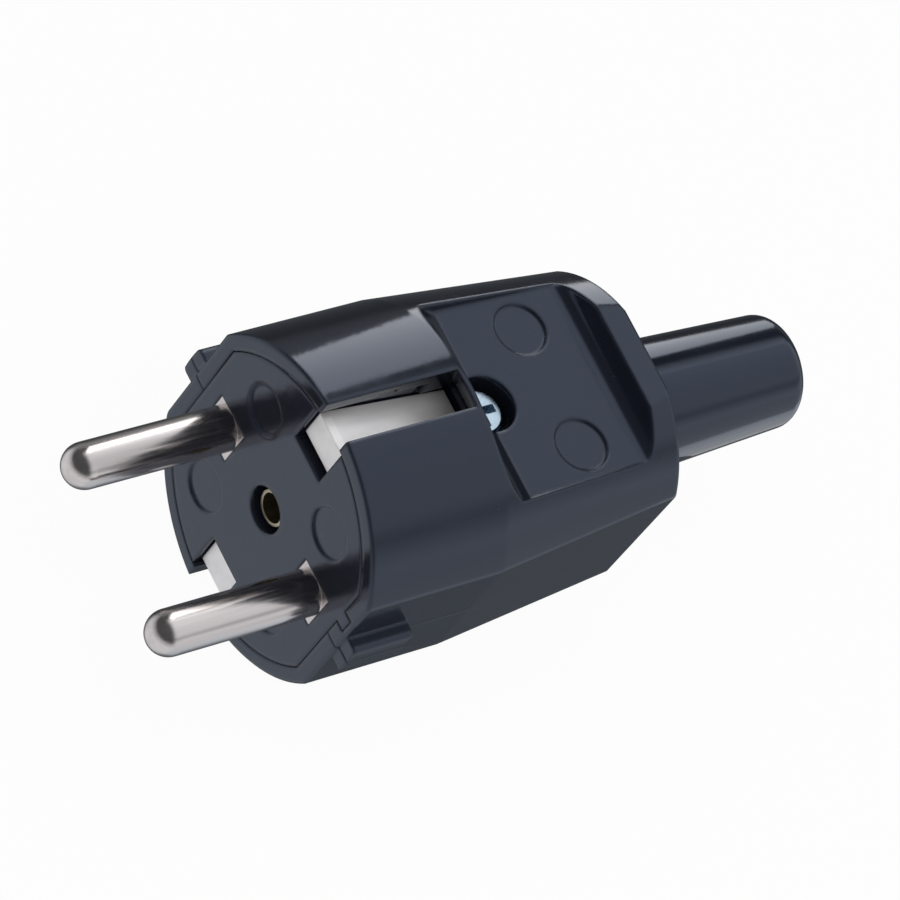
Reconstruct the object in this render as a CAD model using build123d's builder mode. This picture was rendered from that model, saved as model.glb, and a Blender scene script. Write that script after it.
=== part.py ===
from build123d import *
from math import cos, radians, sin
import os

os.makedirs("parts", exist_ok=True)

# Rewirable earthed mains plug with two round pins, side earth contacts and a two-shell housing.
# All sizes in millimetres. X runs from the engagement face (0) to the cord, Y along the pins, Z up.

# Contact pins
pin_diameter = 4.8
pin_length = 19.0
pin_spacing = 19.0
pin_root_side = 4.8
terminal_side_wall = 0.85
terminal_height = 8.0
terminal_length = 9.0
wire_hole_diameter = 3.4
wire_hole_depth = 7.4

# Contact carrier
carrier_rim = 1.8
carrier_side_rim = 1.95
carrier_depth = 13.0
carrier_plate = 4.5
carrier_flange_height = 0.7
carrier_flange_start = 7.0
carrier_flange_width = 2.0
key_inner_z = 2.4
key_outer_z = 4.25
key_height = 1.2
core_y = 7.4
core_z = -8.0
core_width = 6.4
core_height = 4.2
face_mark_radius = 2.7
face_mark_depth = 0.25
face_mark_y = 7.1
face_mark_z = 7.8

# Centre rivet
rivet_outer_radius = 1.93
rivet_wall = 0.35
rivet_recess = 0.8
rivet_well_radius = 2.5
rivet_well_depth = 2.6
rivet_head_radius = 3.0
rivet_head_thickness = 0.7
rivet_head_chamfer = 0.3

# Earth bracket and its terminal
earth_strip_thickness = 0.8
earth_strip_width = 5.0
earth_recess = 0.7
earth_nose_recess = 1.0
earth_nose_height = 3.5
earth_tail_drop = 2.5
earth_tail_gap = 0.4
earth_web_x = 9.2
earth_slot_width = 5.3
earth_slot_gap = 1.0
earth_slot_wall = 0.6
earth_mouth_width = 4.3
earth_mouth_drop = 1.0
earth_screw_z = -5.4
earth_screw_diameter = 3.9
earth_screw_length = 6.2
earth_screw_head_radius = 3.1
earth_screw_head_height = 2.2
earth_plate_side = 7.0
earth_plate_thickness = 1.2

# Housing outside
barrel_radius = 17.7
barrel_length = 16.5
side_flat_depth = 1.8
body_length = 40.0
rear_radius = 15.75
rear_half_width = 13.5
rear_half_height = 14.8
side_corner_rounding = 1.2
front_edge_chamfer = 0.2
rear_edge_chamfer = 0.25
rib_length = 7.6
rib_width = 4.0
rib_setback = 0.4
rib_rounding = 0.6
well_floor_z = 12.0
well_crest = 0.1
well_step_run = 1.0
well_step_z = 14.5
well_front_run = 4.15
well_front_half_width = 11.0
well_rear_half_width = 10.4
well_draft = 20.0
grip_length = 5.1
ridge_length = 3.0
parting_gap = 0.04
mark_radius = 2.9
mark_depth = 0.3
mark_spacing = 13.6
mark_setback = 10.7

# Housing inside
fit_gap = 0.12
side_wall = 2.0
cavity_half_height = 10.0
rear_wall = 5.9

# Housing screw and its nut
screw_run = 4.7
screw_diameter = 3.9
screw_head_radius = 2.8
screw_head_height = 2.3
screw_head_chamfer = 0.5
screw_seat_z = 7.5
screw_well_radius = 3.2
screw_tip_z = -11.2
nut_across_flats = 7.0
nut_height = 3.2
washer_thickness = 0.6
boss_wall = 0.9
cross_slot_width = 0.9
cross_slot_length = 3.6
cross_slot_depth = 1.2

# Cord clamp
clamp_gap = 0.3
clamp_width = 4.0
clamp_post_spacing = 18.0
clamp_post_radius = 2.4
clamp_post_top_z = 2.6
clamp_bar_thickness = 2.6
clamp_bar_drop = 2.0
clamp_screw_diameter = 2.9
clamp_screw_head_radius = 2.3
clamp_screw_head_height = 1.8
clamp_screw_length = 8.0
saddle_z = -3.6

# Terminal screws
terminal_screw_diameter = 3.4
terminal_screw_head_radius = 2.5
terminal_screw_head_height = 1.9
terminal_screw_lift = 0.5
pressure_plate_thickness = 0.6
pressure_plate_radius = 1.5
slot_width = 0.8
slot_depth = 0.9

# Bend sleeve
sleeve_end_x = 65.4
sleeve_root_radius = 7.2
sleeve_end_radius = 6.05
sleeve_bore_radius = 4.2
sleeve_end_rounding = 1.8
sleeve_neck_radius = 7.0
sleeve_collar_radius = 8.8
sleeve_collar_setback = 4.6
sleeve_collar_thickness = 2.3

# Derived places
pin_y = pin_spacing / 2
pin_radius = pin_diameter / 2
side_flat = barrel_radius - side_flat_depth
carrier_radius = barrel_radius - carrier_rim
carrier_flat = side_flat - carrier_side_rim
key_reach = carrier_flat + key_height
terminal_width = 2 * (carrier_flat - terminal_side_wall - pin_y)
earth_nose_z = carrier_radius - earth_nose_recess
earth_inner_z = earth_nose_z - earth_nose_height
earth_tail_z = earth_nose_z - earth_tail_drop
earth_slot_floor_z = earth_inner_z - earth_slot_gap
earth_mouth_z = earth_nose_z - earth_mouth_drop
terminal_start_x = carrier_plate + fit_gap
terminal_end_x = terminal_start_x + terminal_length
terminal_screw_x = terminal_start_x + terminal_length / 2
pressure_plate_z = 0.4
well_step_x = barrel_length + well_step_run
well_front_x = barrel_length + well_front_run
grip_foot_x = body_length - grip_length
grip_top_x = body_length - ridge_length
mark_x = body_length - mark_setback
cavity_end_x = body_length - rear_wall
screw_x = barrel_length + screw_run
washer_radius = screw_well_radius - fit_gap
nut_corner_radius = nut_across_flats / 2 / cos(radians(30))
earth_slot_end_x = screw_x - screw_well_radius - earth_slot_wall
earth_tail_x = earth_slot_end_x - earth_tail_gap
earth_plate_x = earth_web_x + earth_strip_thickness + 0.05
clamp_x = cavity_end_x - clamp_gap - clamp_post_radius
clamp_bar_z = clamp_post_top_z + 0.05
sleeve_collar_x = body_length - sleeve_collar_setback
sleeve_collar_end_x = sleeve_collar_x + sleeve_collar_thickness
side_slope = (side_flat - rear_half_width) / (body_length - barrel_length)
above = 2 * barrel_radius


def side_at(x):
    return side_flat - side_slope * (x - barrel_length)


def outside_section(x, radius, half_width):
    # Circle with two flat sides and rounded corners between them
    with BuildSketch(Plane.YZ.offset(x)) as section:
        Circle(radius)
        Rectangle(2 * half_width, 2 * radius, mode=Mode.INTERSECT)
        fillet(section.vertices(), side_corner_rounding)
    return section.sketch


def carrier_outline(x, grow, key_grow):
    # Round insert with two flat sides and one locating key
    with BuildSketch(Plane.YZ.offset(x)) as outline:
        Circle(carrier_radius + grow)
        Rectangle(2 * (carrier_flat + grow), 3 * carrier_radius, mode=Mode.INTERSECT)
        with Locations((-(key_reach + key_grow) / 2, (key_inner_z + key_outer_z) / 2)):
            Rectangle(key_reach + key_grow, key_outer_z - key_inner_z + 2 * key_grow)
    return outline.sketch


def front_slope(shift):
    # Curved front of the finger well, moved forward by the shift
    return ThreePointArc(
        (barrel_length - well_crest - shift, barrel_radius),
        (well_step_x - shift, well_step_z),
        (well_front_x - shift, well_floor_z),
    )


# Finger well with its front slope, rear grip and the flat ridge behind it, cut once in each broad side
with BuildPart() as well:
    with BuildSketch(Plane.XZ):
        with BuildLine():
            slope = front_slope(0)
            floor = Line(slope @ 1, (grip_foot_x, well_floor_z))
            grip = Spline(
                floor @ 1,
                (grip_top_x, rear_half_height),
                tangents=((1, 0), (0.35, 1)),
            )
            Polyline(
                grip @ 1,
                (body_length + 1, rear_half_height),
                (body_length + 1, above),
                (barrel_length - well_crest, above),
                slope @ 0,
            )
        make_face()
    extrude(amount=barrel_radius, both=True)
    with BuildSketch(Plane.XY.offset(well_floor_z)):
        Polygon(
            (barrel_length - 1, -well_front_half_width),
            (body_length + 1, -well_rear_half_width),
            (body_length + 1, well_rear_half_width),
            (barrel_length - 1, well_front_half_width),
            align=None,
        )
    extrude(amount=barrel_radius - well_floor_z + 1, taper=-well_draft, mode=Mode.INTERSECT)

well_below = mirror(well.part, about=Plane.XY)

# Slot for the upper side earth contact: wide at the strip, narrow at its mouth, closed by a thin wall
with BuildPart() as earth_slot:
    with BuildSketch(Plane.XZ):
        with BuildLine():
            end_wall = front_slope(earth_slot_wall)
            Polyline(
                end_wall @ 1,
                (well_front_x - earth_slot_wall, earth_slot_floor_z),
                (-1, earth_slot_floor_z),
                (-1, above),
                (barrel_length - well_crest - earth_slot_wall, above),
                end_wall @ 0,
            )
        make_face()
    extrude(amount=barrel_radius, both=True)
    with BuildSketch(Plane.YZ.offset(-1)):
        with Locations((0, (earth_slot_floor_z + earth_mouth_z) / 2)):
            Rectangle(earth_slot_width, earth_mouth_z - earth_slot_floor_z)
        with Locations((0, (earth_mouth_z + above) / 2)):
            Rectangle(earth_mouth_width, above - earth_mouth_z)
    extrude(amount=earth_slot_end_x + 1, mode=Mode.INTERSECT)

earth_slot_below = mirror(earth_slot.part, about=Plane.XY)

# Both housing shells as one body, before it is parted: outside first, then the hollows
with BuildPart() as housing:
    extrude(outside_section(0, barrel_radius, side_flat), amount=barrel_length)
    loft(
        [
            outside_section(barrel_length, barrel_radius, side_flat),
            outside_section(body_length, rear_radius, rear_half_width),
        ],
        ruled=True,
    )
    chamfer(housing.faces().sort_by(Axis.X)[0].edges(), front_edge_chamfer)
    chamfer(housing.faces().sort_by(Axis.X)[-1].edges(), rear_edge_chamfer)
    add(well.part, mode=Mode.SUBTRACT)
    add(well_below, mode=Mode.SUBTRACT)
    # Guide ribs on the flat sides
    with BuildSketch(Plane.YZ.offset(rib_setback)):
        with Locations((side_flat - 0.5, 0), (0.5 - side_flat, 0)):
            RectangleRounded(2 * (barrel_radius - side_flat + 0.5), rib_width, rib_rounding)
        Circle(barrel_radius, mode=Mode.INTERSECT)
    extrude(amount=rib_length - rib_setback)
    # Seat of the contact carrier, with the groove for its flange
    extrude(carrier_outline(0, fit_gap, fit_gap), amount=carrier_depth + fit_gap, mode=Mode.SUBTRACT)
    extrude(
        carrier_outline(carrier_flange_start - fit_gap, carrier_flange_height + fit_gap, fit_gap),
        amount=carrier_flange_width + 2 * fit_gap,
        mode=Mode.SUBTRACT,
    )
    # Wiring space
    with BuildSketch():
        Polygon(
            (carrier_depth, side_wall - side_at(barrel_length)),
            (cavity_end_x, side_wall - side_at(cavity_end_x)),
            (cavity_end_x, side_at(cavity_end_x) - side_wall),
            (carrier_depth, side_at(barrel_length) - side_wall),
            align=None,
        )
    extrude(amount=cavity_half_height, both=True, mode=Mode.SUBTRACT)
    # Slots for the two side earth contacts
    add(earth_slot.part, mode=Mode.SUBTRACT)
    add(earth_slot_below, mode=Mode.SUBTRACT)
    # Rear passage: cord opening, pocket for the sleeve collar and neck bore
    with BuildSketch(Plane.YZ.offset(carrier_depth)):
        Circle(sleeve_neck_radius - 1)
    extrude(amount=body_length - carrier_depth, mode=Mode.SUBTRACT)
    with BuildSketch(Plane.YZ.offset(sleeve_collar_x - fit_gap)):
        Circle(sleeve_collar_radius + fit_gap)
    extrude(amount=sleeve_collar_thickness + 2 * fit_gap, mode=Mode.SUBTRACT)
    with BuildSketch(Plane.YZ.offset(sleeve_collar_x)):
        Circle(sleeve_neck_radius + fit_gap)
    extrude(amount=body_length, mode=Mode.SUBTRACT)

# Upper shell with the screw well boss and the two blank round marks
with BuildPart() as housing_top:
    add(housing.part)
    with BuildSketch(Plane.XY.offset(parting_gap / 2)):
        with Locations((screw_x, 0)):
            Circle(screw_well_radius + boss_wall)
    extrude(amount=cavity_half_height + 0.5)
    with BuildSketch():
        with Locations((screw_x, 0)):
            Circle(screw_diameter / 2 + fit_gap)
    extrude(amount=barrel_radius, mode=Mode.SUBTRACT)
    with BuildSketch(Plane.XY.offset(screw_seat_z)):
        with Locations((screw_x, 0)):
            Circle(screw_well_radius)
    extrude(amount=barrel_radius, mode=Mode.SUBTRACT)
    with BuildSketch(Plane.XY.offset(well_floor_z)):
        with Locations((mark_x, mark_spacing / 2), (mark_x, -mark_spacing / 2)):
            Circle(mark_radius)
    extrude(amount=-mark_depth, mode=Mode.SUBTRACT)
    split(bisect_by=Plane.XY.offset(parting_gap / 2), keep=Keep.TOP)

# Lower shell with the nut pocket, the clamp posts and the cord saddle
with BuildPart() as housing_bottom:
    add(housing.part)
    with BuildSketch(Plane.XY.offset(-parting_gap / 2)):
        with Locations((screw_x, 0)):
            Circle(nut_corner_radius + fit_gap + boss_wall)
    extrude(amount=-cavity_half_height - 0.5)
    split(bisect_by=Plane.XY.offset(-parting_gap / 2), keep=Keep.BOTTOM)
    with BuildSketch():
        with Locations((screw_x, 0)):
            Circle(screw_diameter / 2 + fit_gap)
    extrude(amount=-barrel_radius, mode=Mode.SUBTRACT)
    with BuildSketch(Plane.XY.offset(-screw_seat_z)):
        with Locations((screw_x, 0)):
            RegularPolygon(nut_across_flats / 2 + fit_gap, 6, major_radius=False)
    extrude(amount=-barrel_radius, mode=Mode.SUBTRACT)
    with BuildSketch(Plane.XY.offset(-cavity_half_height)):
        with Locations((clamp_x, clamp_post_spacing / 2), (clamp_x, -clamp_post_spacing / 2)):
            Circle(clamp_post_radius)
    extrude(amount=cavity_half_height + clamp_post_top_z)
    with BuildSketch(Plane.XY.offset(clamp_post_top_z)):
        with Locations((clamp_x, clamp_post_spacing / 2), (clamp_x, -clamp_post_spacing / 2)):
            Circle(clamp_screw_diameter / 2 + fit_gap)
    extrude(amount=-clamp_screw_length, mode=Mode.SUBTRACT)
    with BuildSketch(Plane.YZ.offset(clamp_x - clamp_width / 2)):
        with Locations((0, (saddle_z - cavity_half_height) / 2)):
            Rectangle(clamp_post_spacing - clamp_post_radius, cavity_half_height + saddle_z)
        with Locations((0, 0)):
            Circle(-saddle_z + 0.6, mode=Mode.SUBTRACT)
    extrude(amount=clamp_width)

# Contact carrier: front plate and rim, terminal chambers and earth slots
with BuildPart() as contact_carrier:
    extrude(carrier_outline(0, 0, 0), amount=carrier_depth)
    extrude(carrier_outline(carrier_flange_start, carrier_flange_height, 0), amount=carrier_flange_width)
    # Square holes for the pin roots, and the chambers behind them, open to the rear and the top
    with BuildSketch(Plane.YZ):
        with Locations((pin_y, 0), (-pin_y, 0)):
            Rectangle(pin_root_side + fit_gap, pin_root_side + fit_gap)
    extrude(amount=carrier_plate, mode=Mode.SUBTRACT)
    with BuildSketch(Plane.YZ.offset(carrier_plate)):
        with Locations((pin_y, 0), (-pin_y, 0)):
            Rectangle(terminal_width + 2 * fit_gap, terminal_height + 2 * fit_gap)
        with Locations((pin_y, carrier_radius / 2), (-pin_y, carrier_radius / 2)):
            Rectangle(2 * terminal_screw_head_radius + 0.6, carrier_radius)
    extrude(amount=carrier_depth, mode=Mode.SUBTRACT)
    # Cored pockets below the chambers
    with BuildSketch(Plane.YZ.offset(carrier_plate)):
        with Locations((core_y, core_z), (-core_y, core_z)):
            RectangleRounded(core_width, core_height, 0.6)
    extrude(amount=carrier_depth, mode=Mode.SUBTRACT)
    # Slots for the side contacts, and the seat of the bracket web
    with BuildSketch(Plane.YZ):
        for side in (1, -1):
            with Locations((0, side * (earth_slot_floor_z + carrier_radius))):
                Rectangle(earth_slot_width, 2 * carrier_radius)
    extrude(amount=carrier_depth, mode=Mode.SUBTRACT)
    with BuildSketch(Plane.YZ.offset(earth_web_x)):
        Rectangle(earth_slot_width, 3 * carrier_radius)
        with Locations((0, earth_screw_z)):
            Rectangle(earth_plate_side + 0.4, earth_plate_side + 0.4)
        Circle(rivet_head_radius + 0.3)
    extrude(amount=carrier_depth, mode=Mode.SUBTRACT)
    # Centre bore with its front well, and the blind hole ahead of the earth screw
    with BuildSketch(Plane.YZ):
        Circle(rivet_outer_radius + 0.05)
    extrude(amount=carrier_depth, mode=Mode.SUBTRACT)
    with BuildSketch(Plane.YZ):
        Circle(rivet_well_radius)
    extrude(amount=rivet_well_depth, mode=Mode.SUBTRACT)
    with BuildSketch(Plane.YZ.offset(earth_web_x)):
        with Locations((0, earth_screw_z)):
            Circle(earth_screw_diameter / 2 + 0.3)
    extrude(amount=carrier_plate - earth_web_x, mode=Mode.SUBTRACT)
    # Blank round marks sunk in the face
    with BuildSketch(Plane.YZ):
        with GridLocations(2 * face_mark_y, 2 * face_mark_z, 2, 2):
            Circle(face_mark_radius)
    extrude(amount=face_mark_depth, mode=Mode.SUBTRACT)


def contact_pin(y):
    # Solid pin with a round shank, a square root and a terminal block in one piece
    with BuildPart() as pin:
        with BuildSketch():
            with BuildLine():
                tip = (-pin_length, y)
                shoulder = (pin_radius - pin_length, y + pin_radius)
                middle = (pin_radius * (1 - cos(radians(45))) - pin_length, y + pin_radius * sin(radians(45)))
                ThreePointArc(tip, middle, shoulder)
                Polyline(shoulder, (0, y + pin_radius), (0, y), tip)
            make_face()
        revolve(axis=Axis((0, y, 0), (1, 0, 0)))
        with BuildSketch(Plane.YZ):
            with Locations((y, 0)):
                Rectangle(pin_root_side, pin_root_side)
        extrude(amount=terminal_start_x)
        with BuildSketch(Plane.YZ.offset(terminal_start_x)):
            with Locations((y, 0)):
                RectangleRounded(terminal_width, terminal_height, 0.8)
        extrude(amount=terminal_length)
        with BuildSketch(Plane.YZ.offset(terminal_end_x)):
            with Locations((y, 0)):
                Circle(wire_hole_diameter / 2)
        extrude(amount=-wire_hole_depth, mode=Mode.SUBTRACT)
        with BuildSketch():
            with Locations((terminal_screw_x, y)):
                Circle(terminal_screw_diameter / 2 + 0.05)
        extrude(amount=terminal_height, mode=Mode.SUBTRACT)
    return pin.part


def slotted_screw(plane, diameter, length, head_radius, head_height):
    # The underside of the head lies on the plane and the shank runs against its normal
    with BuildPart() as screw:
        with BuildSketch(plane):
            Circle(diameter / 2)
        extrude(amount=-length)
        chamfer(screw.faces().sort_by(Axis(plane.origin, plane.z_dir))[0].edges(), 0.3)
        with BuildSketch(plane):
            Circle(head_radius)
        extrude(amount=head_height)
        with BuildSketch(plane.offset(head_height)):
            Rectangle(3 * head_radius, slot_width)
        extrude(amount=-slot_depth, mode=Mode.SUBTRACT)
    return screw.part


def terminal_plate(y):
    # Pressure plate between the screw tip and the wire
    with BuildPart() as plate:
        with BuildSketch(Plane.XY.offset(pressure_plate_z)):
            with Locations((terminal_screw_x, y)):
                Circle(pressure_plate_radius)
        extrude(amount=pressure_plate_thickness)
    return plate.part


pin_left = contact_pin(pin_y)
pin_right = contact_pin(-pin_y)
head_seat_z = terminal_height / 2 + terminal_screw_lift
terminal_screw_length = head_seat_z - pressure_plate_z - pressure_plate_thickness - 0.05
terminal_screw_left = slotted_screw(
    Plane((terminal_screw_x, pin_y, head_seat_z)),
    terminal_screw_diameter,
    terminal_screw_length,
    terminal_screw_head_radius,
    terminal_screw_head_height,
)
terminal_screw_right = mirror(terminal_screw_left, about=Plane.XZ)
pressure_plate_left = terminal_plate(pin_y)
pressure_plate_right = terminal_plate(-pin_y)

# Earth bracket: one bent strip with a web across the carrier and a sprung contact at each end
with BuildPart() as earth_bracket:
    with BuildSketch(Plane.XZ):
        with BuildLine():
            Polyline(
                (earth_web_x, 0),
                (earth_web_x, earth_inner_z),
                (earth_recess, earth_inner_z),
                (earth_recess, earth_nose_z),
                (earth_recess + 1.2 * earth_strip_thickness, earth_nose_z),
                (earth_tail_x, earth_tail_z),
                (earth_tail_x, earth_tail_z - earth_strip_thickness),
                (earth_recess + earth_strip_thickness, earth_nose_z - earth_strip_thickness),
                (earth_recess + earth_strip_thickness, earth_inner_z + earth_strip_thickness),
                (earth_web_x + earth_strip_thickness, earth_inner_z + earth_strip_thickness),
                (earth_web_x + earth_strip_thickness, 0),
                close=True,
            )
        make_face()
    extrude(amount=earth_strip_width / 2, both=True)
    mirror(about=Plane.XY)
    with BuildSketch(Plane.YZ.offset(earth_web_x)):
        with Locations((0, earth_screw_z)):
            Circle(earth_screw_diameter / 2 + 0.05)
        Circle(rivet_outer_radius + 0.05)
    extrude(amount=earth_strip_thickness, mode=Mode.SUBTRACT)

# Tubular rivet that holds the bracket to the carrier
with BuildPart() as centre_rivet:
    with BuildSketch(Plane.YZ.offset(rivet_recess)):
        Circle(rivet_outer_radius)
    extrude(amount=earth_web_x + earth_strip_thickness + fit_gap / 2 - rivet_recess)
    with BuildSketch(Plane.YZ.offset(earth_web_x + earth_strip_thickness + fit_gap / 2)):
        Circle(rivet_head_radius)
    extrude(amount=rivet_head_thickness)
    chamfer(centre_rivet.faces().sort_by(Axis.X)[-1].edges(), rivet_head_chamfer)
    with BuildSketch(Plane.YZ):
        Circle(rivet_outer_radius - rivet_wall)
    extrude(amount=carrier_depth, mode=Mode.SUBTRACT)

# Wire plate and screw of the earth terminal
with BuildPart() as earth_plate:
    with BuildSketch(Plane.YZ.offset(earth_plate_x)):
        with Locations((0, earth_screw_z)):
            Rectangle(earth_plate_side, earth_plate_side)
            Circle(earth_screw_diameter / 2 + 0.15, mode=Mode.SUBTRACT)
        Circle(rivet_head_radius + 0.2, mode=Mode.SUBTRACT)
    extrude(amount=earth_plate_thickness)

earth_screw = slotted_screw(
    Plane(origin=(earth_plate_x + earth_plate_thickness + 0.05, 0, earth_screw_z), x_dir=(0, 1, 0), z_dir=(1, 0, 0)),
    earth_screw_diameter,
    earth_screw_length,
    earth_screw_head_radius,
    earth_screw_head_height,
)

# Cross-head housing screw with its washer and nut
with BuildPart() as housing_screw:
    with BuildSketch(Plane.XY.offset(screw_tip_z)):
        with Locations((screw_x, 0)):
            Circle(screw_diameter / 2)
    extrude(amount=screw_seat_z + washer_thickness + 0.05 - screw_tip_z)
    chamfer(housing_screw.faces().sort_by(Axis.Z)[0].edges(), 0.4)
    with BuildSketch(Plane.XY.offset(screw_seat_z + washer_thickness + 0.05)):
        with Locations((screw_x, 0)):
            Circle(screw_head_radius)
    extrude(amount=screw_head_height)
    chamfer(housing_screw.faces().sort_by(Axis.Z)[-1].edges(), screw_head_chamfer)
    with BuildSketch(Plane.XY.offset(screw_seat_z + washer_thickness + 0.05 + screw_head_height)):
        with Locations((screw_x, 0)):
            Rectangle(cross_slot_length, cross_slot_width)
            Rectangle(cross_slot_width, cross_slot_length)
    extrude(amount=-cross_slot_depth, taper=14, mode=Mode.SUBTRACT)

with BuildPart() as housing_washer:
    with BuildSketch(Plane.XY.offset(screw_seat_z)):
        with Locations((screw_x, 0)):
            Circle(washer_radius)
            Circle(screw_diameter / 2 + 0.1, mode=Mode.SUBTRACT)
    extrude(amount=washer_thickness)

with BuildPart() as housing_nut:
    with BuildSketch(Plane.XY.offset(-screw_seat_z)):
        with Locations((screw_x, 0)):
            RegularPolygon(nut_across_flats / 2, 6, major_radius=False)
            Circle(screw_diameter / 2 + 0.05, mode=Mode.SUBTRACT)
    extrude(amount=-nut_height)

# Cord clamp bar on its two posts, with its screws
with BuildPart() as clamp_bar:
    with BuildSketch(Plane.XY.offset(clamp_bar_z)):
        with Locations((clamp_x, 0)):
            SlotOverall(clamp_post_spacing + clamp_width, clamp_width, rotation=90)
    extrude(amount=clamp_bar_thickness)
    with BuildSketch(Plane.YZ.offset(clamp_x - clamp_width / 2)):
        with Locations((0, clamp_bar_z - clamp_bar_drop / 2)):
            Trapezoid(clamp_post_spacing / 2 + 1, clamp_bar_drop, 60, rotation=180)
    extrude(amount=clamp_width)
    with BuildSketch(Plane.XY.offset(clamp_bar_z)):
        with Locations((clamp_x, clamp_post_spacing / 2), (clamp_x, -clamp_post_spacing / 2)):
            Circle(clamp_screw_diameter / 2 + 0.2)
    extrude(amount=clamp_bar_thickness, mode=Mode.SUBTRACT)

clamp_screw_left = slotted_screw(
    Plane((clamp_x, clamp_post_spacing / 2, clamp_bar_z + clamp_bar_thickness + 0.05)),
    clamp_screw_diameter,
    clamp_screw_length,
    clamp_screw_head_radius,
    clamp_screw_head_height,
)
clamp_screw_right = mirror(clamp_screw_left, about=Plane.XZ)

# Bend protection sleeve with the collar held in the housing
with BuildPart() as bend_sleeve:
    with BuildSketch(Plane.XZ):
        Polygon(
            (sleeve_collar_x, 0),
            (sleeve_collar_x, sleeve_collar_radius),
            (sleeve_collar_end_x, sleeve_collar_radius),
            (sleeve_collar_end_x, sleeve_neck_radius),
            (body_length + fit_gap, sleeve_neck_radius),
            (body_length + fit_gap, sleeve_root_radius),
            (sleeve_end_x, sleeve_end_radius),
            (sleeve_end_x, 0),
            align=None,
        )
    revolve(axis=Axis.X)
    fillet(bend_sleeve.faces().sort_by(Axis.X)[-1].edges(), sleeve_end_rounding)
    with BuildSketch(Plane.YZ.offset(sleeve_collar_x)):
        Circle(sleeve_bore_radius)
    extrude(amount=sleeve_end_x, mode=Mode.SUBTRACT)

pieces = {
    "housing_top": housing_top.part,
    "housing_bottom": housing_bottom.part,
    "contact_carrier": contact_carrier.part,
    "pin_left": pin_left,
    "pin_right": pin_right,
    "terminal_screw_left": terminal_screw_left,
    "terminal_screw_right": terminal_screw_right,
    "pressure_plate_left": pressure_plate_left,
    "pressure_plate_right": pressure_plate_right,
    "earth_bracket": earth_bracket.part,
    "centre_rivet": centre_rivet.part,
    "earth_plate": earth_plate.part,
    "earth_screw": earth_screw,
    "housing_screw": housing_screw.part,
    "housing_washer": housing_washer.part,
    "housing_nut": housing_nut.part,
    "clamp_bar": clamp_bar.part,
    "clamp_screw_left": clamp_screw_left,
    "clamp_screw_right": clamp_screw_right,
    "bend_sleeve": bend_sleeve.part,
}
for name, solid in pieces.items():
    solid.label = name
    export_step(solid, f"parts/{name}.step")
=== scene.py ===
from math import pi, radians

import bpy
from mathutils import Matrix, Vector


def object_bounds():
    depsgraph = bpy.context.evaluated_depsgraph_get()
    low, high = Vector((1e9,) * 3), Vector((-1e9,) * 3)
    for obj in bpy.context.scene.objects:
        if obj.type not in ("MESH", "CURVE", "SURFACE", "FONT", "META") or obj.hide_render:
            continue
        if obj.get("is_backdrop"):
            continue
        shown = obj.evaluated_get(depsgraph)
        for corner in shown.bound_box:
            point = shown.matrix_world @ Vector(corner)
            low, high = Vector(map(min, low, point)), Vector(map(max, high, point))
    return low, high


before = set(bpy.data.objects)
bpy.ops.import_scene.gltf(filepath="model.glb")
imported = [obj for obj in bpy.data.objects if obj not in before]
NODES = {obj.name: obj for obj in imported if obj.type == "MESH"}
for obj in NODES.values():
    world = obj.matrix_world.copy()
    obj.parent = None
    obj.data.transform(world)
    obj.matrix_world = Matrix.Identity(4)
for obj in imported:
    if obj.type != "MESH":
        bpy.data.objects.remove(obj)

bl_info = {
    "name": "Earthed mains plug",
    "version": (1, 0, 0),
    "blender": (4, 5, 0),
    "location": "View3D > Sidebar > Plug",
    "description": "Finishes the moulded plug, its contacts and sleeve in a soft studio",
    "category": "Add Mesh",
}

# Cells per metre of the procedural patterns
SMUDGES = 160.0
DUST_SPECKS = 700.0
DUST_PATCHES = 240.0
DRAWING_LINES = 4200.0
TARNISH_STAINS = 420.0

# Heights of the grain and of the drawing lines at full strength, in metres
GRAIN_STEP = 0.0001
LINE_STEP = 0.00005

WHITE = (1.0, 1.0, 1.0, 1.0)
SENSOR_WIDTH = 36.0

# Tints of the surround in reflections: daylight through a diffuser, and the bounce from below
DAYLIGHT = (0.92, 0.96, 1.0)
BOUNCE = (0.80, 0.90, 1.0)
# Brightness and tint of the surround in reflections, by degrees round the plug's long axis,
# counted from its far side up
BRIGHTEST = 1.5
RING_OF_SCREENS = (
    (-180, 0.84, DAYLIGHT),
    (-160, 0.76, DAYLIGHT),
    (-140, 0.80, BOUNCE),
    (-126, 0.62, BOUNCE),
    (-112, 0.20, BOUNCE),
    (-90, 0.14, BOUNCE),
    (-20, 0.06, DAYLIGHT),
    (-9, 0.20, DAYLIGHT),
    (2, 0.30, DAYLIGHT),
    (12, 0.28, DAYLIGHT),
    (24, 0.20, DAYLIGHT),
    (36, 0.05, DAYLIGHT),
    (46, 0.06, DAYLIGHT),
    (56, 0.90, DAYLIGHT),
    (61, 1.50, DAYLIGHT),
    (67, 1.10, DAYLIGHT),
    (96, 0.94, DAYLIGHT),
    (140, 0.84, DAYLIGHT),
    (151, 0.50, DAYLIGHT),
    (160, 0.76, DAYLIGHT),
    (170, 0.98, DAYLIGHT),
    (180, 0.84, DAYLIGHT),
)
# Brightness and tint of the screen ahead of the pins, by degrees of height
FRONT_SCREEN = (
    (-90, 0.80, DAYLIGHT),
    (-50, 0.88, DAYLIGHT),
    (-12, 0.90, DAYLIGHT),
    (4, 0.55, DAYLIGHT),
    (16, 0.08, DAYLIGHT),
    (90, 0.10, DAYLIGHT),
)


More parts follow.
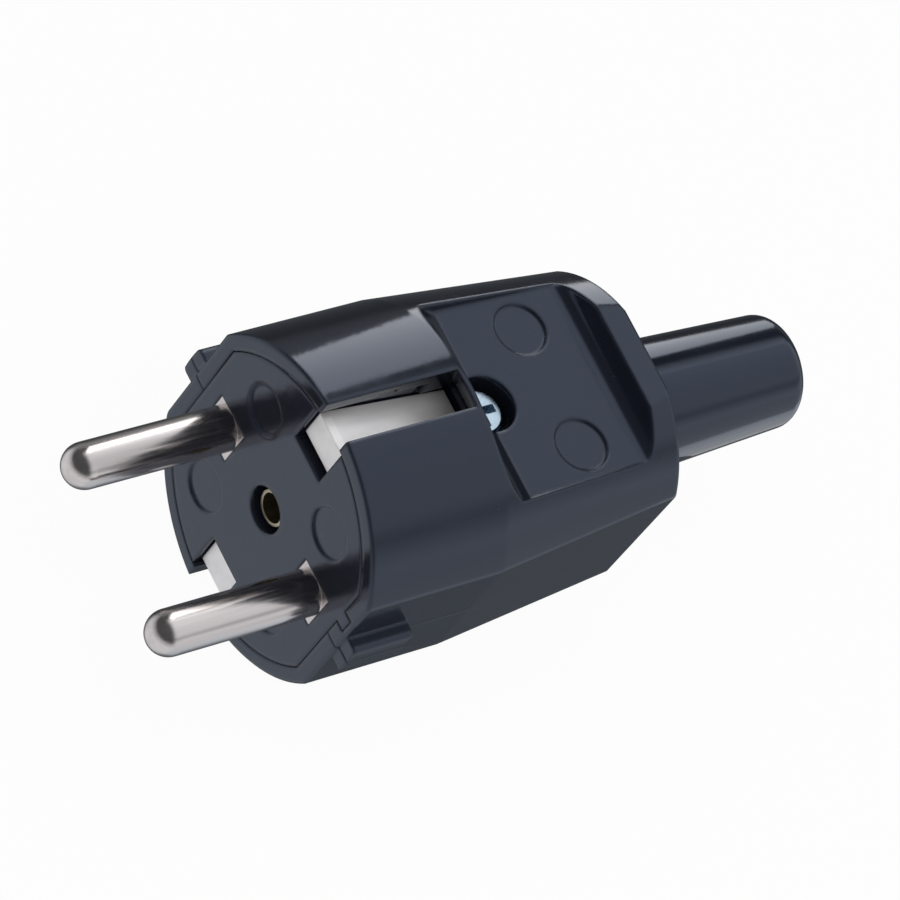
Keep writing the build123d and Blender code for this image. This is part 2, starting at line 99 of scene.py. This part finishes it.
class PlugFinish(bpy.types.PropertyGroup):
    """Colours of the moulded and metal pieces."""

    shell_colour: bpy.props.FloatVectorProperty(
        name="Shell colour",
        description="Colour of the two moulded housing shells",
        default=(0.0110, 0.0130, 0.0200),
        subtype="COLOR",
    )
    carrier_colour: bpy.props.FloatVectorProperty(
        name="Carrier colour",
        description="Colour of the contact carrier in the front face",
        default=(0.0125, 0.0140, 0.0220),
        subtype="COLOR",
    )
    sleeve_colour: bpy.props.FloatVectorProperty(
        name="Sleeve colour",
        description="Colour of the bend protection sleeve",
        default=(0.0105, 0.0130, 0.0210),
        subtype="COLOR",
    )
    clamp_colour: bpy.props.FloatVectorProperty(
        name="Clamp colour",
        description="Colour of the moulded cord clamp",
        default=(0.020, 0.021, 0.024),
        subtype="COLOR",
    )
    nickel_colour: bpy.props.FloatVectorProperty(
        name="Nickel colour",
        description="Colour of the nickel-plated contact pins",
        default=(0.70, 0.64, 0.62),
        subtype="COLOR",
    )
    strip_colour: bpy.props.FloatVectorProperty(
        name="Strip colour",
        description="Colour of the satin strip of the side earth contacts",
        default=(0.93, 0.90, 0.89),
        subtype="COLOR",
    )
    brass_colour: bpy.props.FloatVectorProperty(
        name="Brass colour",
        description="Colour of the tubular rivet",
        default=(0.55, 0.47, 0.35),
        subtype="COLOR",
    )
    zinc_colour: bpy.props.FloatVectorProperty(
        name="Zinc colour",
        description="Colour of the zinc-plated screws, washer and nut",
        default=(0.52, 0.63, 0.72),
        subtype="COLOR",
    )


class PlugSurface(bpy.types.PropertyGroup):
    """Small-scale surface sizes."""

    edge_radius: bpy.props.FloatProperty(
        name="Edge radius",
        description="Softness of the moulded edges",
        default=0.00060,
        min=0.0,
        unit="LENGTH",
    )
    metal_edge_radius: bpy.props.FloatProperty(
        name="Metal edge radius",
        description="Softness of the tumbled edges of the metal pieces",
        default=0.00012,
        min=0.0,
        unit="LENGTH",
    )
    grain_size: bpy.props.FloatProperty(
        name="Grain size",
        description="Size of the faint unevenness of the moulded surfaces",
        default=0.0011,
        min=0.0001,
        unit="LENGTH",
    )


class PlugStage(bpy.types.PropertyGroup):
    """Camera, floor and light."""

    camera_place: bpy.props.FloatVectorProperty(
        name="Camera place",
        description="Where the camera stands",
        default=(-0.31317, -0.17350, 0.45881),
        subtype="TRANSLATION",
        unit="LENGTH",
    )
    camera_turn: bpy.props.FloatVectorProperty(
        name="Camera turn",
        description="How the camera is turned",
        default=(radians(32.1037), radians(-24.4818), radians(-29.1646)),
        subtype="EULER",
    )
    camera_lens: bpy.props.FloatProperty(
        name="Camera lens",
        description="Focal length in millimetres on a 36 mm wide sensor",
        default=236.17,
    )
    floor_size: bpy.props.FloatProperty(
        name="Floor size",
        description="Side of the square floor",
        default=6.0,
        unit="LENGTH",
    )
    floor_colour: bpy.props.FloatVectorProperty(
        name="Floor colour",
        description="Colour of the paper sweep",
        default=(0.8, 0.8, 0.8),
        subtype="COLOR",
    )
    floor_white: bpy.props.FloatProperty(
        name="Floor white",
        description="Share of plain white in the seen floor, the rest keeps the shadow",
        default=0.96,
        subtype="FACTOR",
    )
    even_light: bpy.props.FloatProperty(
        name="Even light",
        description="Strength of the even light from all round",
        default=0.55,
    )
    lamp_place: bpy.props.FloatVectorProperty(
        name="Lamp place",
        description="Centre of the soft overhead lamp",
        default=(0.0, -0.15, 0.7),
        subtype="TRANSLATION",
        unit="LENGTH",
    )
    lamp_size: bpy.props.FloatProperty(
        name="Lamp size",
        description="Side of the square overhead lamp",
        default=0.6,
        unit="LENGTH",
    )
    lamp_power: bpy.props.FloatProperty(
        name="Lamp power",
        description="Power of the soft overhead lamp",
        default=1.6,
        subtype="POWER",
    )
    bounce_place: bpy.props.FloatVectorProperty(
        name="Bounce place",
        description="Centre of the pale card under the sleeve, seen in the gloss only",
        default=(0.085, -0.0210, -0.0172),
        subtype="TRANSLATION",
        unit="LENGTH",
    )
    bounce_length: bpy.props.FloatProperty(
        name="Bounce length",
        description="Length of the pale card",
        default=0.042,
        unit="LENGTH",
    )
    bounce_width: bpy.props.FloatProperty(
        name="Bounce width",
        description="Width of the pale card",
        default=0.026,
        unit="LENGTH",
    )
    bounce_glow: bpy.props.FloatProperty(
        name="Bounce glow",
        description="How bright the pale card looks in a reflection, where 1 is white",
        default=0.7,
    )
    softbox_place: bpy.props.FloatVectorProperty(
        name="Softbox place",
        description="Centre of the slanted softbox on the far side, seen in the gloss only",
        default=(0.118, 0.150, 0.107),
        subtype="TRANSLATION",
        unit="LENGTH",
    )
    softbox_turn: bpy.props.FloatVectorProperty(
        name="Softbox turn",
        description="How the softbox is turned",
        default=(radians(-90), radians(-30), 0.0),
        subtype="EULER",
    )
    softbox_width: bpy.props.FloatProperty(
        name="Softbox width",
        description="Short side of the softbox",
        default=0.111,
        unit="LENGTH",
    )
    softbox_length: bpy.props.FloatProperty(
        name="Softbox length",
        description="Long side of the softbox",
        default=0.272,
        unit="LENGTH",
    )
    softbox_glow: bpy.props.FloatProperty(
        name="Softbox glow",
        description="How bright the softbox looks in a reflection, where 1 is white",
        default=2.25,
    )


def node_tree(owner):
    owner.use_nodes = True
    tree = owner.node_tree
    tree.nodes.clear()
    return tree


def place(tree, kind, **values):
    """Adds a node and sets its properties and unlinked inputs by name."""
    node = tree.nodes.new(kind)
    for key, value in values.items():
        if hasattr(node, key):
            setattr(node, key, value)
        else:
            node.inputs[key.replace("_", " ")].default_value = value
    return node


def ramp_stops(node, stops):
    """Puts stops of angle, brightness and tint on a colour ramp, lowest angle first."""
    ramp = node.color_ramp
    lowest, highest = stops[0][0], stops[-1][0]
    while len(ramp.elements) > 1:
        ramp.elements.remove(ramp.elements[-1])
    for index, (angle, brightness, tint) in enumerate(stops):
        position = (angle - lowest) / (highest - lowest)
        stop = ramp.elements[0] if index == 0 else ramp.elements.new(position)
        stop.position = position
        stop.color = (*(part * brightness / BRIGHTEST for part in tint), 1.0)


def new_group(name, inputs, outputs):
    """Makes an empty shader node group with float inputs and the given outputs."""
    group = bpy.data.node_groups.new(name, "ShaderNodeTree")
    for label, default in inputs:
        socket = group.interface.new_socket(
            label, in_out="INPUT", socket_type="NodeSocketFloat"
        )
        socket.default_value = default
    for label, kind in outputs:
        group.interface.new_socket(label, in_out="OUTPUT", socket_type=kind)
    return group, group.nodes.new("NodeGroupInput"), group.nodes.new("NodeGroupOutput")


def moulded_skin():
    """Soft edges, faint flow unevenness and fine dust of a moulded surface."""
    found = bpy.data.node_groups.get("moulded_skin")
    if found:
        return found
    tree, given, out = new_group(
        "moulded_skin",
        [
            ("Edge Radius", 0.0002),
            ("Grain Scale", 900.0),
            ("Grain Height", 0.1),
            ("Gloss Low", 0.2),
            ("Gloss High", 0.3),
        ],
        [
            ("Normal", "NodeSocketVector"),
            ("Roughness", "NodeSocketFloat"),
            ("Dust", "NodeSocketFloat"),
        ],
    )
    link = tree.links.new
    coords = tree.nodes.new("ShaderNodeTexCoord")
    edge = place(tree, "ShaderNodeBevel", samples=6)
    link(given.outputs["Edge Radius"], edge.inputs["Radius"])
    grain = place(tree, "ShaderNodeTexNoise", Detail=2.0, Roughness=0.5)
    link(coords.outputs["Object"], grain.inputs["Vector"])
    link(given.outputs["Grain Scale"], grain.inputs["Scale"])
    bump = place(tree, "ShaderNodeBump", Distance=GRAIN_STEP)
    link(given.outputs["Grain Height"], bump.inputs["Strength"])
    link(grain.outputs["Fac"], bump.inputs["Height"])
    link(edge.outputs["Normal"], bump.inputs["Normal"])
    link(bump.outputs["Normal"], out.inputs["Normal"])
    smudge = place(tree, "ShaderNodeTexNoise", Scale=SMUDGES, Detail=4.0, Roughness=0.6)
    link(coords.outputs["Object"], smudge.inputs["Vector"])
    spread = place(tree, "ShaderNodeMapRange", From_Min=0.35, From_Max=0.65)
    link(smudge.outputs["Fac"], spread.inputs["Value"])
    link(given.outputs["Gloss Low"], spread.inputs["To Min"])
    link(given.outputs["Gloss High"], spread.inputs["To Max"])
    link(spread.outputs["Result"], out.inputs["Roughness"])
    specks = place(tree, "ShaderNodeTexVoronoi", Scale=DUST_SPECKS)
    link(coords.outputs["Object"], specks.inputs["Vector"])
    fine = place(tree, "ShaderNodeMapRange", From_Min=0.10, From_Max=0.04, To_Min=0.0, To_Max=1.0)
    link(specks.outputs["Distance"], fine.inputs["Value"])
    patches = place(tree, "ShaderNodeTexNoise", Scale=DUST_PATCHES, Detail=1.0)
    link(coords.outputs["Object"], patches.inputs["Vector"])
    few = place(tree, "ShaderNodeMapRange", From_Min=0.56, From_Max=0.66)
    link(patches.outputs["Fac"], few.inputs["Value"])
    dust = place(tree, "ShaderNodeMath", operation="MULTIPLY")
    link(fine.outputs["Result"], dust.inputs[0])
    link(few.outputs["Result"], dust.inputs[1])
    link(dust.outputs["Value"], out.inputs["Dust"])
    return tree


def drawn_metal():
    """Soft edges and fine drawing lines along X for plated metal."""
    found = bpy.data.node_groups.get("drawn_metal")
    if found:
        return found
    tree, given, out = new_group(
        "drawn_metal",
        [
            ("Edge Radius", 0.0001),
            ("Line Height", 0.1),
            ("Gloss Low", 0.2),
            ("Gloss High", 0.3),
            ("Stretch", 0.03),
        ],
        [
            ("Normal", "NodeSocketVector"),
            ("Roughness", "NodeSocketFloat"),
            ("Tarnish", "NodeSocketFloat"),
        ],
    )
    link = tree.links.new
    coords = tree.nodes.new("ShaderNodeTexCoord")
    edge = place(tree, "ShaderNodeBevel", samples=6)
    link(given.outputs["Edge Radius"], edge.inputs["Radius"])
    scale = tree.nodes.new("ShaderNodeCombineXYZ")
    scale.inputs["Y"].default_value = 1.0
    scale.inputs["Z"].default_value = 1.0
    link(given.outputs["Stretch"], scale.inputs["X"])
    drawn = tree.nodes.new("ShaderNodeVectorMath")
    drawn.operation = "MULTIPLY"
    link(coords.outputs["Object"], drawn.inputs[0])
    link(scale.outputs["Vector"], drawn.inputs[1])
    lines = place(tree, "ShaderNodeTexNoise", Scale=DRAWING_LINES, Detail=3.0, Roughness=0.6)
    link(drawn.outputs["Vector"], lines.inputs["Vector"])
    bump = place(tree, "ShaderNodeBump", Distance=LINE_STEP)
    link(given.outputs["Line Height"], bump.inputs["Strength"])
    link(lines.outputs["Fac"], bump.inputs["Height"])
    link(edge.outputs["Normal"], bump.inputs["Normal"])
    link(bump.outputs["Normal"], out.inputs["Normal"])
    gloss = place(tree, "ShaderNodeMapRange", From_Min=0.35, From_Max=0.65)
    link(lines.outputs["Fac"], gloss.inputs["Value"])
    link(given.outputs["Gloss Low"], gloss.inputs["To Min"])
    link(given.outputs["Gloss High"], gloss.inputs["To Max"])
    link(gloss.outputs["Result"], out.inputs["Roughness"])
    stain = place(tree, "ShaderNodeTexNoise", Scale=TARNISH_STAINS, Detail=3.0, Roughness=0.65)
    link(drawn.outputs["Vector"], stain.inputs["Vector"])
    amount = place(tree, "ShaderNodeMapRange", From_Min=0.38, From_Max=0.66)
    link(stain.outputs["Fac"], amount.inputs["Value"])
    link(amount.outputs["Result"], out.inputs["Tarnish"])
    return tree


def skinned_material(name, group, **values):
    """Starts a material with a shared skin group, whose inputs are set by name."""
    material = bpy.data.materials.new(name)
    tree = node_tree(material)
    skin = tree.nodes.new("ShaderNodeGroup")
    skin.node_tree = group
    for key, value in values.items():
        skin.inputs[key.replace("_", " ")].default_value = value
    return material, tree, skin


def two_tones(tree, colour, other, mask):
    """Mixes two colours by a mask."""
    shade = tree.nodes.new("ShaderNodeMix")
    shade.data_type = "RGBA"
    shade.inputs["A"].default_value = (*colour, 1.0)
    shade.inputs["B"].default_value = (*other, 1.0)
    tree.links.new(mask, shade.inputs["Factor"])
    return shade.outputs["Result"]


def surface_output(tree, shader, colour, skin):
    """Joins the colour and the skin to the shader, and the shader to the surface."""
    link = tree.links.new
    link(colour, shader.inputs["Base Color"])
    link(skin.outputs["Roughness"], shader.inputs["Roughness"])
    link(skin.outputs["Normal"], shader.inputs["Normal"])
    out = tree.nodes.new("ShaderNodeOutputMaterial")
    link(shader.outputs["BSDF"], out.inputs["Surface"])


def plastic(name, colour, gloss, grain_height, dust):
    """A moulded plastic: its colour with fine dust, and the shared moulded skin."""
    surface = bpy.context.scene.plug_surface
    material, tree, skin = skinned_material(
        name,
        moulded_skin(),
        Edge_Radius=surface.edge_radius,
        Grain_Scale=1.0 / surface.grain_size,
        Grain_Height=grain_height,
        Gloss_Low=gloss[0],
        Gloss_High=gloss[1],
    )
    dusty = [part + dust for part in colour]
    shade = two_tones(tree, colour, dusty, skin.outputs["Dust"])
    shader = place(
        tree, "ShaderNodeBsdfPrincipled", IOR=1.6, Specular_Tint=(0.66, 0.76, 1.0, 1.0)
    )
    surface_output(tree, shader, shade, skin)
    return material


def metal(name, colour, gloss, dull, line_height=0.1, stretch=0.03, metallic=1.0):
    """A plated metal: two close colours mixed by tarnish, and the shared drawn skin."""
    surface = bpy.context.scene.plug_surface
    material, tree, skin = skinned_material(
        name,
        drawn_metal(),
        Edge_Radius=surface.metal_edge_radius,
        Line_Height=line_height,
        Gloss_Low=gloss[0],
        Gloss_High=gloss[1],
        Stretch=stretch,
    )
    tarnished = [part * dull for part in colour]
    shade = two_tones(tree, colour, tarnished, skin.outputs["Tarnish"])
    shader = place(tree, "ShaderNodeBsdfPrincipled", Metallic=metallic)
    surface_output(tree, shader, shade, skin)
    return material


def dress(material, *names):
    """Gives CAD nodes their finish."""
    for name in names:
        slots = NODES[name].data.materials
        slots.clear()
        slots.append(material)


class PLUG_OT_shells(bpy.types.Operator):
    """Finish the two housing shells in glossy moulded plastic"""

    bl_idname = "plug.shells"
    bl_label = "Housing shells"

    def execute(self, context):
        colour = context.scene.plug_finish.shell_colour
        skin = plastic("shell_plastic", colour, gloss=(0.09, 0.15), grain_height=0.08, dust=0.02)
        dress(skin, "housing_top", "housing_bottom")
        return {"FINISHED"}


class PLUG_OT_carrier(bpy.types.Operator):
    """Finish the contact carrier in the front face"""

    bl_idname = "plug.carrier"
    bl_label = "Contact carrier"

    def execute(self, context):
        colour = context.scene.plug_finish.carrier_colour
        skin = plastic("carrier_plastic", colour, gloss=(0.12, 0.20), grain_height=0.14, dust=0.04)
        dress(skin, "contact_carrier")
        return {"FINISHED"}


class PLUG_OT_sleeve(bpy.types.Operator):
    """Finish the bend protection sleeve"""

    bl_idname = "plug.sleeve"
    bl_label = "Bend sleeve"

    def execute(self, context):
        colour = context.scene.plug_finish.sleeve_colour
        skin = plastic("sleeve_plastic", colour, gloss=(0.08, 0.13), grain_height=0.04, dust=0.015)
        dress(skin, "bend_sleeve")
        return {"FINISHED"}


class PLUG_OT_contacts(bpy.types.Operator):
    """Finish the contact pins and the side earth contacts"""

    bl_idname = "plug.contacts"
    bl_label = "Contacts"

    def execute(self, context):
        finish = context.scene.plug_finish
        nickel = metal("nickel", finish.nickel_colour, gloss=(0.15, 0.25), dull=0.82)
        dress(nickel, "pin_left", "pin_right")
        satin = metal(
            "satin_strip",
            finish.strip_colour,
            gloss=(0.36, 0.46),
            dull=0.92,
            line_height=0.15,
            metallic=0.6,
        )
        dress(satin, "earth_bracket")
        return {"FINISHED"}


class PLUG_OT_fasteners(bpy.types.Operator):
    """Finish the rivet, the screws, the nut and the cord clamp"""

    bl_idname = "plug.fasteners"
    bl_label = "Fasteners and clamp"

    def execute(self, context):
        finish = context.scene.plug_finish
        brass = metal("rivet_brass", finish.brass_colour, gloss=(0.28, 0.42), dull=0.75)
        dress(brass, "centre_rivet")
        zinc = metal(
            "zinc_steel",
            finish.zinc_colour,
            gloss=(0.16, 0.28),
            dull=0.85,
            line_height=0.08,
            stretch=0.6,
        )
        dress(zinc, "housing_screw", "housing_washer", "housing_nut", "earth_plate", "earth_screw")
        for side in ("left", "right"):
            dress(zinc, f"terminal_screw_{side}", f"clamp_screw_{side}", f"pressure_plate_{side}")
        clamp = plastic(
            "clamp_plastic", finish.clamp_colour, gloss=(0.3, 0.4), grain_height=0.12, dust=0.03
        )
        dress(clamp, "clamp_bar")
        return {"FINISHED"}


def studio_surround(world):
    """White for the camera, even for soft light, and screens with dark gaps for reflections."""
    stage = bpy.context.scene.plug_stage
    tree = node_tree(world)
    link = tree.links.new
    coords = tree.nodes.new("ShaderNodeTexCoord")
    axes = tree.nodes.new("ShaderNodeSeparateXYZ")
    link(coords.outputs["Generated"], axes.inputs["Vector"])
    turn = place(tree, "ShaderNodeMath", operation="ARCTAN2")
    link(axes.outputs["Z"], turn.inputs[0])
    link(axes.outputs["Y"], turn.inputs[1])
    ring = place(tree, "ShaderNodeMapRange", From_Min=-pi, From_Max=pi)
    link(turn.outputs["Value"], ring.inputs["Value"])
    boxes = tree.nodes.new("ShaderNodeValToRGB")
    ramp_stops(boxes, RING_OF_SCREENS)
    link(ring.outputs["Result"], boxes.inputs["Fac"])
    rise = place(tree, "ShaderNodeMath", operation="ARCSINE")
    link(axes.outputs["Z"], rise.inputs[0])
    height = place(tree, "ShaderNodeMapRange", From_Min=-pi / 2, From_Max=pi / 2)
    link(rise.outputs["Value"], height.inputs["Value"])
    ahead = tree.nodes.new("ShaderNodeValToRGB")
    ramp_stops(ahead, FRONT_SCREEN)
    link(height.outputs["Result"], ahead.inputs["Fac"])
    front = place(tree, "ShaderNodeMapRange", From_Min=0.15, From_Max=-0.3)
    front.interpolation_type = "SMOOTHSTEP"
    link(axes.outputs["X"], front.inputs["Value"])
    whole = tree.nodes.new("ShaderNodeMix")
    whole.data_type = "RGBA"
    link(front.outputs["Result"], whole.inputs["Factor"])
    link(boxes.outputs["Color"], whole.inputs["A"])
    link(ahead.outputs["Color"], whole.inputs["B"])
    reflected = place(tree, "ShaderNodeBackground", Strength=BRIGHTEST)
    link(whole.outputs["Result"], reflected.inputs["Color"])
    soft = place(tree, "ShaderNodeBackground", Color=WHITE, Strength=stage.even_light)
    white = place(tree, "ShaderNodeBackground", Color=WHITE, Strength=1.0)
    path = tree.nodes.new("ShaderNodeLightPath")
    lit = tree.nodes.new("ShaderNodeMixShader")
    link(path.outputs["Is Glossy Ray"], lit.inputs["Fac"])
    link(soft.outputs["Background"], lit.inputs[1])
    link(reflected.outputs["Background"], lit.inputs[2])
    seen = tree.nodes.new("ShaderNodeMixShader")
    link(path.outputs["Is Camera Ray"], seen.inputs["Fac"])
    link(lit.outputs["Shader"], seen.inputs[1])
    link(white.outputs["Background"], seen.inputs[2])
    out = tree.nodes.new("ShaderNodeOutputWorld")
    link(seen.outputs["Shader"], out.inputs["Surface"])


def pale_floor():
    """A white sweep that keeps a faint shadow and can be looked through from below."""
    stage = bpy.context.scene.plug_stage
    material = bpy.data.materials.new("pale_floor")
    tree = node_tree(material)
    link = tree.links.new
    paper = place(tree, "ShaderNodeBsdfDiffuse", Color=(*stage.floor_colour, 1.0))
    glow = place(tree, "ShaderNodeEmission", Color=WHITE, Strength=1.0)
    lifted = tree.nodes.new("ShaderNodeMixShader")
    path = tree.nodes.new("ShaderNodeLightPath")
    share = place(tree, "ShaderNodeMath", operation="MULTIPLY")
    share.inputs[1].default_value = stage.floor_white
    link(path.outputs["Is Camera Ray"], share.inputs[0])
    link(share.outputs["Value"], lifted.inputs["Fac"])
    link(paper.outputs["BSDF"], lifted.inputs[1])
    link(glow.outputs["Emission"], lifted.inputs[2])
    clear = tree.nodes.new("ShaderNodeBsdfTransparent")
    geometry = tree.nodes.new("ShaderNodeNewGeometry")
    sided = tree.nodes.new("ShaderNodeMixShader")
    link(geometry.outputs["Backfacing"], sided.inputs["Fac"])
    link(lifted.outputs["Shader"], sided.inputs[1])
    link(clear.outputs["BSDF"], sided.inputs[2])
    out = tree.nodes.new("ShaderNodeOutputMaterial")
    link(sided.outputs["Shader"], out.inputs["Surface"])
    return material


def gloss_screen(name, location, rotation, size, glow):
    """Adds a lit screen that shows in reflections and adds nothing to the plain light."""
    bpy.ops.object.light_add(type="AREA", location=location, rotation=rotation)
    screen = bpy.context.object
    screen.name = name
    screen.data.shape = "RECTANGLE"
    screen.data.size, screen.data.size_y = size
    screen.data.energy = glow * pi * size[0] * size[1]
    screen.visible_camera = False
    screen.visible_diffuse = False


class PLUG_OT_stage(bpy.types.Operator):
    """Set the pale floor, the soft light and the camera"""

    bl_idname = "plug.stage"
    bl_label = "Stage"

    def execute(self, context):
        stage = context.scene.plug_stage
        bpy.ops.object.select_all(action="DESELECT")
        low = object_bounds()[0].z
        bpy.ops.mesh.primitive_plane_add(size=stage.floor_size, location=(0.0, 0.0, low))
        floor = context.object
        floor.name = "floor"
        floor.data.materials.append(pale_floor())
        floor.visible_glossy = False
        floor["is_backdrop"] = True
        bpy.ops.object.light_add(type="AREA", location=stage.lamp_place)
        lamp = context.object
        lamp.name = "soft_lamp"
        lamp.data.shape = "SQUARE"
        lamp.data.size = stage.lamp_size
        lamp.data.energy = stage.lamp_power
        lamp.visible_glossy = False
        gloss_screen(
            "far_softbox",
            stage.softbox_place,
            stage.softbox_turn,
            (stage.softbox_width, stage.softbox_length),
            stage.softbox_glow,
        )
        gloss_screen(
            "sleeve_bounce",
            stage.bounce_place,
            (pi, 0.0, 0.0),
            (stage.bounce_length, stage.bounce_width),
            stage.bounce_glow,
        )
        bpy.ops.object.camera_add(location=stage.camera_place, rotation=stage.camera_turn)
        camera = context.object
        camera.name = "camera"
        camera.data.sensor_width = SENSOR_WIDTH
        camera.data.lens = stage.camera_lens
        camera.data.clip_start = 0.01
        camera.data.clip_end = 20.0
        context.scene.camera = camera
        world = bpy.data.worlds.new("studio")
        context.scene.world = world
        studio_surround(world)
        context.scene.view_settings.view_transform = "Standard"
        return {"FINISHED"}


class PLUG_PT_panel(bpy.types.Panel):
    """Lists the steps and their settings"""

    bl_idname = "PLUG_PT_panel"
    bl_label = "Earthed mains plug"
    bl_space_type = "VIEW_3D"
    bl_region_type = "UI"
    bl_category = "Plug"

    def draw(self, context):
        scene = context.scene
        for settings in (scene.plug_finish, scene.plug_surface, scene.plug_stage):
            for key in settings.bl_rna.properties.keys():
                if key not in ("rna_type", "name"):
                    self.layout.prop(settings, key)
        for step in STEPS:
            self.layout.operator(step.bl_idname)


SETTINGS = (PlugFinish, PlugSurface, PlugStage)
STEPS = (
    PLUG_OT_shells,
    PLUG_OT_carrier,
    PLUG_OT_sleeve,
    PLUG_OT_contacts,
    PLUG_OT_fasteners,
    PLUG_OT_stage,
)


def register():
    for made in (*SETTINGS, *STEPS, PLUG_PT_panel):
        bpy.utils.register_class(made)
    bpy.types.Scene.plug_finish = bpy.props.PointerProperty(type=PlugFinish)
    bpy.types.Scene.plug_surface = bpy.props.PointerProperty(type=PlugSurface)
    bpy.types.Scene.plug_stage = bpy.props.PointerProperty(type=PlugStage)


def unregister():
    del bpy.types.Scene.plug_finish
    del bpy.types.Scene.plug_surface
    del bpy.types.Scene.plug_stage
    for made in reversed((*SETTINGS, *STEPS, PLUG_PT_panel)):
        bpy.utils.unregister_class(made)


def main():
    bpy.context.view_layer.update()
    register()
    bpy.ops.plug.shells()
    bpy.ops.plug.carrier()
    bpy.ops.plug.sleeve()
    bpy.ops.plug.contacts()
    bpy.ops.plug.fasteners()
    bpy.ops.plug.stage()


if __name__ == "__main__":
    main()
